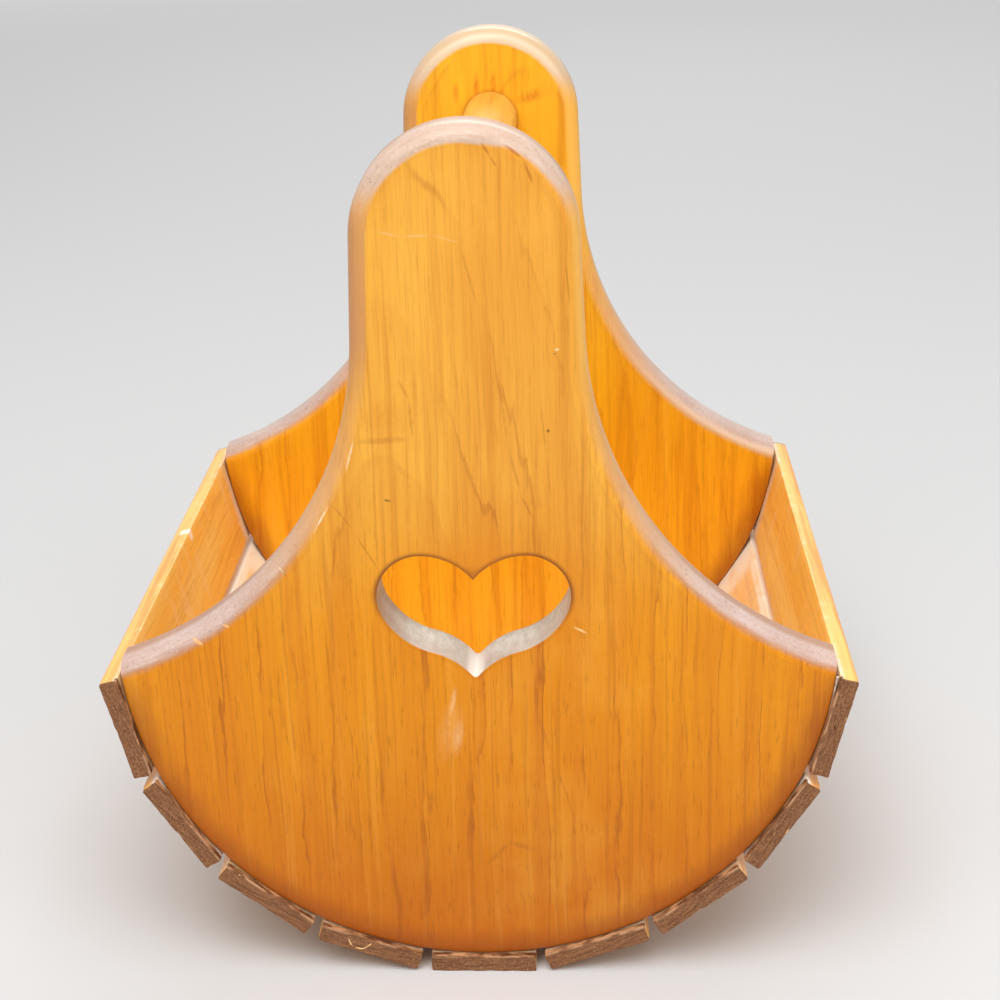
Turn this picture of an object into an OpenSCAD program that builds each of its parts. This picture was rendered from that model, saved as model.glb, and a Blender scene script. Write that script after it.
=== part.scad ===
// Slatted wooden garden basket with two shaped end boards, heart cut-outs and a dowel handle.
// Millimetres. X runs across the basket, Y along the handle, Z up from the surface it stands on.

/* [End boards] */
// Thickness of each end board
board_t = 19; // [16:0.5:25]
// Clear distance between the inner faces of the end boards
inner_length = 193; // [150:1:260]
// Radius of the round bottom edge that carries the slats
rim_r = 122; // [105:1:150]
// Radius of the hollow shoulder curve between horn tip and neck
shoulder_r = 123.4; // [115:0.1:150]
// Height of the horn tips above the upper edges of the top slats
horn_rise = 5; // [2:0.5:9]
// Radius of the round top of the neck
neck_top_r = 36.5; // [32:0.5:44]
// Height of the centre of the round top above the lowest point of the board
neck_top_z = 262; // [255:1:300]
// Angle by which each side of the neck leans outward on its way down
neck_lean = 2.2; // [0.6:0.1:4]
// Radius of the rounding on both faces along the shoulders, neck and top
edge_round = 6.35; // [3:0.05:7.5]

/* [Heart cut-out] */
// Greatest width of the heart
heart_w = 65; // [60:0.5:70]
// Height of the widest line of the heart above the lowest point of the board
heart_z = 141.3; // [135:0.1:160]
// Radius of the crown of each lobe
heart_crown_r = 22.8; // [21.5:0.1:26]
// Radius of the outer side of each lobe
heart_side_r = 15; // [12:0.1:18]
// Radius of the full lower flank
heart_flank_r = 26.7; // [22:0.1:30]
// Radius of the hollow curve that runs down to the tip
heart_tip_r = 26.8; // [25:0.1:35]

/* [Handle] */
// Diameter of the dowel
dowel_d = 22.2; // [18:0.1:32]
// Depth of the blind socket in each end board
socket_depth = 9.5; // [6:0.5:13]
// Gap all round between dowel and socket, which the glue fills
socket_gap = 0.1; // [0.05:0.05:0.4]
// Chamfer on the hidden ends of the dowel
dowel_chamfer = 1; // [0.5:0.1:2]

/* [Slats] */
// Width of each slat
slat_w = 38.1; // [30:0.1:44]
// Thickness of each slat
slat_t = 6.35; // [5:0.05:9]
// Least gap between neighbouring slats, at their inner edges
slat_gap = 2.9; // [1:0.1:6]
// Number of slats on each side of the bottom slat
side_slats = 4; // [3:1:4]
// Length by which each slat end stands past the outer face of the end board
slat_overhang = 2.2; // [0:0.1:6]
// Size of the eased long edges of a slat
slat_ease = 0.5; // [0.2:0.1:1]

/* [Nails] */
// Diameter of the nail shank
nail_d = 1.6; // [1.2:0.1:2.2]
// Length of the nail from the top of its head to its point
nail_l = 25; // [18:0.5:30]
// Diameter of the nail head
nail_head_d = 3; // [2.6:0.1:4]
// Thickness of the nail head
nail_head_t = 0.8; // [0.5:0.1:1.5]
// Distance between the two nails in one slat end
nail_spacing = 20; // [12:0.5:24]
// Gap all round between a nail and its hole
nail_gap = 0.05; // [0.02:0.01:0.1]
// Length of the nail point
nail_point = 2; // [1:0.5:3]

/* [Hidden] */
$fn = 96;
sides = ["left", "right"];

board_colour = [0.82, 0.50, 0.17];
slat_colour = [0.74, 0.44, 0.18];
dowel_colour = [0.86, 0.58, 0.26];
nail_colour = [0.55, 0.55, 0.57];

// Length over the outer faces of the end boards, and of one slat
outer_length = inner_length + 2 * board_t;
slat_l = outer_length + 2 * slat_overhang;

// Angle on the rim from one slat to the next
half_slat_angle = atan(slat_w / 2 / rim_r);
slat_pitch = 2 * half_slat_angle + 2 * asin(slat_gap / 2 / norm([rim_r, slat_w / 2]));
top_slat_angle = side_slats * slat_pitch;

// The outline is drawn with x across and y up from the lowest point of the board.
// Horn tip, where the shoulder curve meets the round bottom edge
horn_y = rim_r - rim_r * cos(top_slat_angle) + slat_w / 2 * sin(top_slat_angle) + horn_rise;
horn = [sqrt(pow(rim_r, 2) - pow(rim_r - horn_y, 2)), horn_y];
// Directions square to the leaning side of the neck and along it
across = [cos(neck_lean), sin(neck_lean)];
along = [-sin(neck_lean), cos(neck_lean)];
neck_centre = [0, neck_top_z];
// Centre of the shoulder curve, which touches the neck side and passes the horn tip
shoulder_across = neck_centre * across + neck_top_r + shoulder_r;
shoulder_along = horn * along + sqrt(pow(shoulder_r, 2) - pow(shoulder_across - horn * across, 2));
shoulder_centre = shoulder_across * across + shoulder_along * along;
// Ends of the straight side of the neck
neck_foot = shoulder_centre - shoulder_r * across;
neck_head = neck_centre + neck_top_r * across;
// Height at which the disc of the rim hands over to the web below the neck
web_y = max(rim_r, horn_y + 1);
web_half_w = shoulder_centre[0] - sqrt(pow(shoulder_r, 2) - pow(shoulder_centre[1] - web_y, 2));
// Width by which drawing aids reach past the outline, and cutters past a face
reach = 2 * rim_r;
past = 1;
// Distance that the flat core of a board stays inside the outline; the border laps over it
core_inset = 1.5 * edge_round;

// Turns of the heart outline, as directions from the centre of each curve
heart_crown_turn = 94;
heart_flank_turn = -26;
heart_tip_turn = -74;
heart_step = 6;
// Step of the quarter-round section, in degrees
round_step = 11.25;

// Depth of the nail hole in the rim, with room for the point
nail_hole_depth = nail_l - slat_t + past;

function ray(angle) = [cos(angle), sin(angle)];

// Points along a round curve from one direction to another
function curve(centre, r, from, to, step = heart_step) =
    let (steps = ceil(abs(to - from) / step))
    [for (i = [0:steps]) centre + r * ray(from + (to - from) * i / steps)];

function mirrored(points) = [for (i = [len(points) - 1:-1:0]) [-points[i][0], points[i][1]]];

// Right half of the heart, from the notch over the lobe and down to the tip
function heart_half() =
    let (
        side = [heart_w / 2 - heart_side_r, heart_z],
        crown = side - (heart_crown_r - heart_side_r) * ray(heart_crown_turn),
        flank = side - (heart_flank_r - heart_side_r) * ray(heart_flank_turn),
        hollow = flank + (heart_flank_r + heart_tip_r) * ray(heart_tip_turn)
    )
    concat(
        curve(crown, heart_crown_r, acos(-crown[0] / heart_crown_r), heart_crown_turn),
        curve(side, heart_side_r, heart_crown_turn - heart_step, heart_flank_turn),
        curve(flank, heart_flank_r, heart_flank_turn - heart_step, heart_tip_turn),
        curve(hollow, heart_tip_r, 180 + heart_tip_turn + heart_step, acos(-hollow[0] / heart_tip_r))
    );

module heart_outline() {
    right = heart_half();
    left = mirrored(right);
    polygon(concat(
        right,
        [for (i = [1:len(left) - 2]) left[i]]
    ));
}

// Outline of an end board, drawn in by inset along the edges that are rounded
module board_outline(inset = 0) {
    difference() {
        union() {
            intersection() {
                translate([0, rim_r])
                    circle(rim_r);
                translate([-reach, -past])
                    square([2 * reach, web_y + past]);
            }
            translate([-web_half_w - inset - past, web_y])
                square([2 * (web_half_w + inset + past), neck_foot[1] - web_y]);
        }
        for (side = [-1, 1])
            translate([side * shoulder_centre[0], shoulder_centre[1]])
                circle(shoulder_r + inset);
    }
    foot = neck_foot - inset * across;
    head = neck_head - inset * across;
    polygon([
        [-foot[0], neck_foot[1]],
        [foot[0], neck_foot[1]],
        [head[0], neck_head[1]],
        [-head[0], neck_head[1]]
    ]);
    intersection() {
        translate(neck_centre)
            circle(neck_top_r - inset);
        translate([-reach, neck_head[1]])
            square([2 * reach, reach]);
    }
}

// Cross-section of the rounded border: the wood lies left of x = 0, centred on the thickness
module border_section() {
    depth = 2 * edge_round;
    lower = curve([-edge_round, edge_round - board_t / 2], edge_round, -90, 0, round_step);
    polygon(concat(
        [[-depth, -board_t / 2]],
        lower,
        [for (i = [len(lower) - 1:-1:0]) [lower[i][0], -lower[i][1]]],
        [[-depth, board_t / 2]]
    ));
}

module top_border() {
    translate([neck_centre[0], neck_centre[1], board_t / 2])
        rotate_extrude(angle = 180 - 2 * neck_lean, start = neck_lean)
            translate([neck_top_r, 0])
                border_section();
}

module neck_border() {
    translate([neck_foot[0], neck_foot[1], board_t / 2])
        rotate([0, 0, neck_lean])
            rotate([-90, 0, 0])
                linear_extrude(norm(neck_head - neck_foot))
                    border_section();
}

module shoulder_border() {
    intersection() {
        translate([shoulder_centre[0], shoulder_centre[1], board_t / 2])
            rotate_extrude(angle = 90, start = 180 + neck_lean)
                translate([shoulder_r, 0])
                    mirror([1, 0])
                        border_section();
        translate([0, rim_r, 0])
            cylinder(h = board_t, r = rim_r);
    }
}

// Slat places run from -side_slats on the left to side_slats on the right.
module at_slat(place) {
    translate([0, 0, slat_t + rim_r])
        rotate([0, -place * slat_pitch, 0])
            translate([0, 0, -rim_r])
                children();
}

// The two nails at one end of each slat; end is -1 at the front and 1 at the back
module at_nails(place, end) {
    at_slat(place)
        for (side = [-1, 1])
            translate([side * nail_spacing / 2, end * (outer_length - board_t) / 2, -slat_t])
                children();
}

// Nail with its head at z = 0 and its point up
module nail() {
    cylinder(h = nail_head_t, d = nail_head_d);
    cylinder(h = nail_l - nail_point, d = nail_d);
    translate([0, 0, nail_l - nail_point])
        cylinder(h = nail_point, d1 = nail_d, d2 = nail_d / 4);
}

module slat_nail_hole() {
    translate([0, 0, -past])
        cylinder(h = slat_t + 2 * past, d = nail_d + 2 * nail_gap);
    translate([0, 0, -past])
        cylinder(h = nail_head_t + past, d = nail_head_d + 2 * nail_gap);
}

module rim_nail_hole() {
    translate([0, 0, slat_t - past])
        cylinder(h = nail_hole_depth + past, d = nail_d + 2 * nail_gap);
}

// One end board lying on its inner face
module flat_board() {
    difference() {
        union() {
            linear_extrude(board_t)
                board_outline(core_inset);
            top_border();
            for (side = [0, 1])
                mirror([side, 0, 0]) {
                    neck_border();
                    shoulder_border();
                }
        }
        translate([0, 0, -past])
            linear_extrude(board_t + 2 * past)
                heart_outline();
        translate([neck_centre[0], neck_centre[1], -past])
            cylinder(h = socket_depth + past, d = dowel_d + 2 * socket_gap);
    }
}

module end_board(end) {
    color(board_colour)
        difference() {
            mirror([0, end > 0 ? 1 : 0, 0])
                translate([0, -inner_length / 2, slat_t])
                    rotate([90, 0, 0])
                        flat_board();
            for (place = [-side_slats:side_slats])
                at_nails(place, end)
                    rim_nail_hole();
        }
}

module handle_dowel() {
    full = dowel_d / 2;
    length = inner_length + 2 * socket_depth;
    color(dowel_colour)
        translate([0, length / 2, slat_t + neck_top_z])
            rotate([90, 0, 0])
                rotate_extrude()
                    polygon([
                        [0, 0],
                        [full - dowel_chamfer, 0],
                        [full, dowel_chamfer],
                        [full, length - dowel_chamfer],
                        [full - dowel_chamfer, length],
                        [0, length]
                    ]);
}

// Cross-section of a slat: inner face at y = 0, long edges eased
module slat_section() {
    half = slat_w / 2;
    polygon([
        [-half + slat_ease, 0],
        [half - slat_ease, 0],
        [half, -slat_ease],
        [half, slat_ease - slat_t],
        [half - slat_ease, -slat_t],
        [slat_ease - half, -slat_t],
        [-half, slat_ease - slat_t],
        [-half, -slat_ease]
    ]);
}

module slat(place) {
    color(slat_colour)
        difference() {
            at_slat(place)
                rotate([90, 0, 0])
                    linear_extrude(slat_l, center = true)
                        slat_section();
            for (end = [-1, 1])
                at_nails(place, end)
                    slat_nail_hole();
        }
}

module nails(end) {
    color(nail_colour)
        for (place = [-side_slats:side_slats])
            at_nails(place, end)
                nail();
}

end_board(-1);  // end_board_front
end_board(1);  // end_board_back
handle_dowel();
slat(0);  // slat_bottom
for (i = [1:side_slats]) {
    slat(-i);
    slat(i);
}
nails(-1);  // nails_front
nails(1);  // nails_back
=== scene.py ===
import math
import random

import bmesh
import bpy
from mathutils import Matrix, Vector, noise


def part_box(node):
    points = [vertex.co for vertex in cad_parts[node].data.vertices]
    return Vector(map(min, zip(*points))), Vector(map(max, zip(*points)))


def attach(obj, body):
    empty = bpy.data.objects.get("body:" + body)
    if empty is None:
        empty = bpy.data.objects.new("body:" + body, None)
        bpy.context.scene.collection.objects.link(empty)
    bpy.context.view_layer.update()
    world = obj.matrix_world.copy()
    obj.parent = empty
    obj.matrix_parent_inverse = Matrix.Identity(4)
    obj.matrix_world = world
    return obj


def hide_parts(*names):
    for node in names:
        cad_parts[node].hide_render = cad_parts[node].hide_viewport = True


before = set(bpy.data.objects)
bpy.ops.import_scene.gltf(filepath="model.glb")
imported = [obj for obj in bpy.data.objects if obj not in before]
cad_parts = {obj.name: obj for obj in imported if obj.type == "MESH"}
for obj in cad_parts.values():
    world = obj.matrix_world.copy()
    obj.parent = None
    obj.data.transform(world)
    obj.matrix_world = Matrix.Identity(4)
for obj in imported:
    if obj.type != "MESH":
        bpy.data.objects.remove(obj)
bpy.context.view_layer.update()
MM = 0.001

# Camera: solved from the photograph's outlines, in metres and radians
CAMERA_PLACE = (0.0343, -0.6845, 0.4075)
CAMERA_YAW = -0.0473
CAMERA_PITCH = 0.3898
CAMERA_ROLL = -0.0248
FOCAL_PIXELS = 1876.7
FRAME_PIXELS = 1000
CENTRE_PIXEL = (493.7, 526.1)
SENSOR_MM = 36.0

# Sizes of the end boards, as in the part's source
RIM_R = 122 * MM
SHOULDER_R = 123.4 * MM
NECK_R = 36.45 * MM
NECK_Z = 262 * MM
NECK_LEAN = math.radians(2.2)
EDGE_ROUND = 6.35 * MM
HORN_RISE = 5 * MM
SIDE_SLATS = 4
SLAT_W = 38.1 * MM
SLAT_T = 6.35 * MM
SLAT_L = 235.4 * MM
SLAT_EASE = 0.5 * MM
SLAT_GAP = 2.9 * MM
BOARD_INNER = 96.5 * MM
BOARD_OUTER = 115.5 * MM
SOCKET_R = 11.14 * MM
SOCKET_DEPTH = 9.5 * MM
HEART_W = 65 * MM
HEART_Z = 141.3 * MM
HEART_RADII = {"crown": 22.8 * MM, "side": 15 * MM, "flank": 26.7 * MM, "tip": 26.8 * MM}
HEART_TURNS = {"crown": 94, "flank": -26, "tip": -74}
HEART_TIP_ROUND = 1.4 * MM
HEART_EASE = 0.5 * MM

# A board's border: where across the board its band of dust and painted sheen grows narrow; how brown its inner side
# and the left of its neck are; how pale the right of its neck is, rubbed and with a painted highlight;
# how much painted light brightens the flanks of its band on the right; how creamy its top, with dust and a painted
# highlight; how dark the lines beside it, and how matt and shiny it is. Then how strongly the board's grain shows, and
# whether its marks, of use and of painted shade, are on its inner face
FRONT_BORDER = {
    "narrow": (0.004, 0.018), "brown": 0.8, "rubbed": (0.40, 0.80, 0, 0.50), "glow": 0.0, "cream": 0.25, "grime": 0.28,
    "seam": 0.15, "matt": 0.15, "sheen": 0.22, "figure": 1.0, "marks_inside": False,
}
BACK_BORDER = {
    "narrow": (-0.045, -0.100), "brown": 0.15, "rubbed": (0.02, 0.35, 0, 0.55), "glow": 0.8, "cream": 0.9, "grime": 0.12,
    "seam": 0.0, "matt": 0.05, "sheen": 0.4, "figure": 0.5, "marks_inside": True,
}

# Small shapes of the visual pieces only: the band of pooled varnish and painted shade at an edge, the eased arris
# of the rim, the wear at the horns, and the depth of the saw marks, frayed corners and uneven faces of a slat
POOL_W = 1.6 * MM
ARRIS = 0.6 * MM
HORN_WEAR = 4 * MM
END_ROUGH = 0.35 * MM
END_FRAY = 0.45 * MM
FRAY_REACH = 3 * MM
FACE_SINK = 0.12 * MM
FACE_UNEVEN = 0.10 * MM
GRAIN_BUMP = 0.3 * MM

# How finely the outline is drawn
RIM_STEPS = 60
SHOULDER_STEPS = 56
NECK_STEPS = 10
TOP_STEPS = 64
BORDER_STEPS = 10
SOCKET_STEPS = 48

# The stage: the floor's radius in metres, and how strongly the world lights the object and how bright it looks
FLOOR_R = 9.0
WORLD_LIGHT = 0.40
BACKDROP = 0.80

# The angle from one slat to the next
SLAT_PITCH = 2 * math.atan(SLAT_W / 2 / RIM_R) + 2 * math.asin(SLAT_GAP / 2 / math.hypot(RIM_R, SLAT_W / 2))


def srgb(red, green, blue):
    """A colour as the eye reads it from the photograph, 0 to 255, in Blender's linear values."""
    def linear(value):
        value /= 255
        return value / 12.92 if value <= 0.04045 else ((value + 0.055) / 1.055) ** 2.4
    return (linear(red), linear(green), linear(blue), 1)


def make_camera():
    data = bpy.data.cameras.new("camera")
    camera = bpy.data.objects.new("camera", data)
    bpy.context.scene.collection.objects.link(camera)
    forward = Vector((
        math.sin(CAMERA_YAW) * math.cos(CAMERA_PITCH),
        math.cos(CAMERA_YAW) * math.cos(CAMERA_PITCH),
        -math.sin(CAMERA_PITCH),
    ))
    level = Vector((math.cos(CAMERA_YAW), -math.sin(CAMERA_YAW), 0))
    above = level.cross(forward)
    right = level * math.cos(CAMERA_ROLL) + above * math.sin(CAMERA_ROLL)
    up = above * math.cos(CAMERA_ROLL) - level * math.sin(CAMERA_ROLL)
    turn = Matrix((right, up, -forward)).transposed().to_4x4()
    camera.matrix_world = Matrix.Translation(CAMERA_PLACE) @ turn
    data.sensor_width = SENSOR_MM
    data.lens = FOCAL_PIXELS * SENSOR_MM / FRAME_PIXELS
    data.shift_x = (FRAME_PIXELS / 2 - CENTRE_PIXEL[0]) / FRAME_PIXELS
    data.shift_y = (CENTRE_PIXEL[1] - FRAME_PIXELS / 2) / FRAME_PIXELS
    data.clip_start = 0.01
    bpy.context.scene.camera = camera


# Node helpers
class Shader:
    """Builds a node tree with short calls."""

    def __init__(self, name):
        self.material = bpy.data.materials.new(name)
        self.material.use_nodes = True
        self.tree = self.material.node_tree
        self.surface = self.tree.nodes["Principled BSDF"]

    def node(self, kind, **settings):
        made = self.tree.nodes.new(kind)
        for key, value in settings.items():
            setattr(made, key, value)
        return made

    def link(self, source, target):
        """Sets a constant straight on the socket, and links anything else."""
        if isinstance(source, (int, float, tuple)):
            target.default_value = source
        else:
            self.tree.links.new(source, target)

    def math(self, operation, first, second=0.0, third=0.0):
        made = self.node("ShaderNodeMath", operation=operation)
        for value, socket in zip((first, second, third), made.inputs):
            self.link(value, socket)
        return made.outputs[0]

    def step(self, value, low, high, start=0.0, end=1.0):
        """Goes softly from start to end while the value goes from low to high."""
        made = self.node("ShaderNodeMapRange", interpolation_type="SMOOTHSTEP")
        names = ("Value", "From Min", "From Max", "To Min", "To Max")
        for name, item in zip(names, (value, low, high, start, end)):
            self.link(item, made.inputs[name])
        return made.outputs[0]

    def mix(self, factor, first, second):
        made = self.node("ShaderNodeMix", data_type="RGBA")
        self.link(factor, made.inputs[0])
        self.link(first, made.inputs[6])
        self.link(second, made.inputs[7])
        return made.outputs[2]

    def stretch(self, vector, scale, offset=(0, 0, 0), turn=(0, 0, 0)):
        made = self.node("ShaderNodeMapping")
        self.link(vector, made.inputs["Vector"])
        made.inputs["Scale"].default_value = scale
        made.inputs["Location"].default_value = offset
        made.inputs["Rotation"].default_value = turn
        return made.outputs[0]

    def noise(self, vector, detail=4.0, roughness=0.55):
        made = self.node("ShaderNodeTexNoise")
        self.link(vector, made.inputs["Vector"])
        made.inputs["Scale"].default_value = 1.0
        made.inputs["Detail"].default_value = detail
        made.inputs["Roughness"].default_value = roughness
        return made.outputs["Fac"]

    def bump(self, height, strength, distance):
        made = self.node("ShaderNodeBump")
        made.inputs["Strength"].default_value = strength
        made.inputs["Distance"].default_value = distance
        self.link(height, made.inputs["Height"])
        return made.outputs[0]

    def place(self):
        return self.node("ShaderNodeTexCoord").outputs["Object"]

    def split(self, vector):
        made = self.node("ShaderNodeSeparateXYZ")
        self.link(vector, made.inputs[0])
        return made.outputs

    def attribute(self, name):
        return self.node("ShaderNodeAttribute", attribute_name=name).outputs["Fac"]


def smudge(sh, place, centre, size, turn=0.0, soft=0.7):
    """A soft-edged oval on a board's face, 1 at its middle; centre and size in mm across and up."""
    across = sh.math("SUBTRACT", sh.split(place)[0], centre[0] * MM)
    up = sh.math("SUBTRACT", sh.split(place)[2], centre[1] * MM)
    cos, sin = math.cos(math.radians(turn)), math.sin(math.radians(turn))
    u = sh.math("ADD", sh.math("MULTIPLY", across, cos), sh.math("MULTIPLY", up, sin))
    v = sh.math("SUBTRACT", sh.math("MULTIPLY", up, cos), sh.math("MULTIPLY", across, sin))
    u = sh.math("DIVIDE", u, size[0] * MM)
    v = sh.math("DIVIDE", v, size[1] * MM)
    far = sh.math("SQRT", sh.math("MULTIPLY_ADD", u, u, sh.math("MULTIPLY", v, v)))
    return sh.step(far, 1 - soft, 1.0, 1.0, 0.0)


def grain_space(sh, place, along, offset):
    """Returns a function that gives stretched noise along the grain, bent a little by a slow wander."""
    scale = [12.0] * 3
    scale[along] = 5.0
    wander = sh.node("ShaderNodeTexNoise")
    sh.link(sh.stretch(place, scale, offset), wander.inputs["Vector"])
    wander.inputs["Scale"].default_value = 1.0
    wander.inputs["Detail"].default_value = 3.0
    bending = sh.node("ShaderNodeVectorMath", operation="MULTIPLY_ADD")
    sh.link(wander.outputs["Color"], bending.inputs[0])
    bending.inputs[1].default_value = (0.007, 0.007, 0.007)
    sh.link(place, bending.inputs[2])
    bent = bending.outputs[0]

    def grain(across, length, detail=3.0, roughness=0.55):
        size = [across] * 3
        size[along] = length
        return sh.noise(sh.stretch(bent, size, offset), detail=detail, roughness=roughness)

    return grain, bent


def ring_lines(sh, bent, axis, slope, spacing, offset):
    """Thin lines where the growth rings reach the sawn face, as tall arches opening downwards."""
    sides = sh.split(bent)
    jitter = sh.noise(sh.stretch(bent, (95, 95, 16), offset), detail=4, roughness=0.6)
    ragged = sh.noise(sh.stretch(bent, (330, 330, 70), offset), detail=3)
    jitter = sh.math("MULTIPLY_ADD", jitter, 0.014, -0.007)
    jitter = sh.math("MULTIPLY_ADD", ragged, 0.0016, jitter)
    across = sh.math("ADD", sh.math("SUBTRACT", sides[0], axis[0]), jitter)
    depth = sh.math("MULTIPLY", sh.math("SUBTRACT", sides[2], axis[1]), slope)
    depth = sh.math("SMOOTH_MAX", depth, 0.014, 0.012)
    radius = sh.math("SQRT", sh.math("MULTIPLY_ADD", across, across, sh.math("MULTIPLY", depth, depth)))
    uneven = sh.noise(sh.stretch(bent, (20, 20, 6), (4, 2, 8)), detail=1)
    radius = sh.math("MULTIPLY_ADD", uneven, spacing * 1.5, radius)
    place_in_ring = sh.math("FRACT", sh.math("DIVIDE", radius, spacing))
    fade = sh.step(place_in_ring, 0.965, 1.0, 1.0, 0.0)
    line = sh.math("MULTIPLY", sh.step(place_in_ring, 0.90, 0.955), fade)
    late = sh.step(place_in_ring, 0.35, 0.95)
    patchy = sh.step(sh.noise(sh.stretch(bent, (45, 45, 22), (2, 6, 4)), detail=2), 0.42, 0.62)
    return sh.math("MULTIPLY", line, patchy), late


def finish_wood(sh, colour, rough, height, bump=0.25, coat=0.2):
    sh.link(colour, sh.surface.inputs["Base Color"])
    sh.link(rough, sh.surface.inputs["Roughness"])
    sh.link(sh.bump(height, bump, GRAIN_BUMP), sh.surface.inputs["Normal"])
    if not sh.surface.inputs["Coat Weight"].is_linked:
        sh.surface.inputs["Coat Weight"].default_value = coat
    sh.surface.inputs["Coat Roughness"].default_value = 0.16
    sh.surface.inputs["Specular IOR Level"].default_value = 0.22
    return sh.material


def board_wood(name, offset, ring_axis, outer_tones, inner_tones, border, marks):
    """Honey-amber varnished board with upright grain, worn border partly painted with light and shade, and the marks
    of use, with painted shade among them.

    The tones are those at the foot, the shoulders and the top of the outer and inner faces.
    """
    sh = Shader(name)
    place = sh.place()
    grain, bent = grain_space(sh, place, 2, offset)
    up = sh.split(place)[2]
    from_middle = sh.math("ABSOLUTE", sh.split(place)[1])
    inside = sh.step(from_middle, BOARD_OUTER - EDGE_ROUND, BOARD_INNER + EDGE_ROUND)
    tones = [sh.mix(inside, outer, inner) for outer, inner in zip(outer_tones, inner_tones)]
    colour = sh.mix(sh.step(up, 0.0, 0.12), tones[0], tones[1])
    colour = sh.mix(sh.step(up, 0.13, 0.205), colour, tones[2])
    broad = grain(26, 3.0, 3, 0.5)
    colour = sh.mix(sh.step(broad, 0.35, 0.68, 0, 0.34), colour, srgb(204, 108, 10))
    clouds = sh.noise(sh.stretch(place, (22, 22, 15), offset), detail=4, roughness=0.6)
    colour = sh.mix(sh.step(clouds, 0.5, 0.72, 0, 0.22), colour, srgb(250, 186, 74))
    streaks = grain(260, 7, 5, 0.62)
    colour = sh.mix(sh.step(streaks, 0.46, 0.70, 0, 0.34), colour, srgb(190, 100, 14))
    colour = sh.mix(sh.step(streaks, 0.32, 0.46, 0.12, 0), colour, srgb(250, 184, 84))
    threads = grain(620, 9, 3, 0.6)
    thread_lines = sh.math("MULTIPLY", sh.step(threads, 0.54, 0.68), sh.step(up, 0.17, 0.24, 0.28, 0.16))
    colour = sh.mix(sh.math("MULTIPLY", thread_lines, border["figure"]), colour, srgb(164, 84, 14))
    lines, late = ring_lines(sh, bent, ring_axis, 0.27, 0.0125, offset)
    colour = sh.mix(sh.math("MULTIPLY", late, sh.step(up, 0.16, 0.22, 0.16, 0.05)), colour, srgb(192, 96, 18))
    line_strength = sh.math("MULTIPLY", sh.step(up, 0.14, 0.20, 0.5, 0.26), border["figure"])
    colour = sh.mix(sh.math("MULTIPLY", lines, line_strength), colour, srgb(154, 76, 18))
    flecks = grain(1150, 105, 2, 0.5)
    lower = sh.step(up, 0.22, 0.08, 0.25, 0.75)
    fleck = sh.math("MULTIPLY", sh.step(flecks, 0.60, 0.70), lower)
    colour = sh.mix(sh.math("MULTIPLY", fleck, 0.40 * border["figure"]), colour, srgb(140, 70, 14))
    fine = grain(1900, 42, 3, 0.6)
    colour = sh.mix(sh.step(fine, 0.52, 0.72, 0, 0.26), colour, srgb(176, 92, 20))
    rough = sh.math("MULTIPLY_ADD", sh.noise(sh.stretch(place, (50, 50, 35)), detail=4), 0.2, 0.26)
    colour, rough = board_edges(sh, place, colour, rough, border)
    marked = inside if border["marks_inside"] else sh.math("SUBTRACT", 1.0, inside)
    ragged = sh.step(sh.noise(sh.stretch(place, (700, 700, 400), offset), detail=3), 0.3, 0.55, 0.4, 1.0)
    marked = sh.math("MULTIPLY", marked, ragged)
    for centre, size, turn, tint, strength in marks:
        oval = smudge(sh, place, centre, size, turn, 0.7 if min(size) < 2 else 1.0)
        amount = sh.math("MULTIPLY", sh.math("MULTIPLY", oval, marked), strength)
        colour = sh.mix(amount, colour, tint)
        rough = sh.math("MULTIPLY_ADD", amount, 0.2, rough)
    pores = sh.math("MULTIPLY_ADD", fleck, 0.8, lines)
    height = sh.math("SUBTRACT", sh.math("MULTIPLY", streaks, 0.6), pores)
    return finish_wood(sh, colour, rough, height, coat=0.08)


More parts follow.
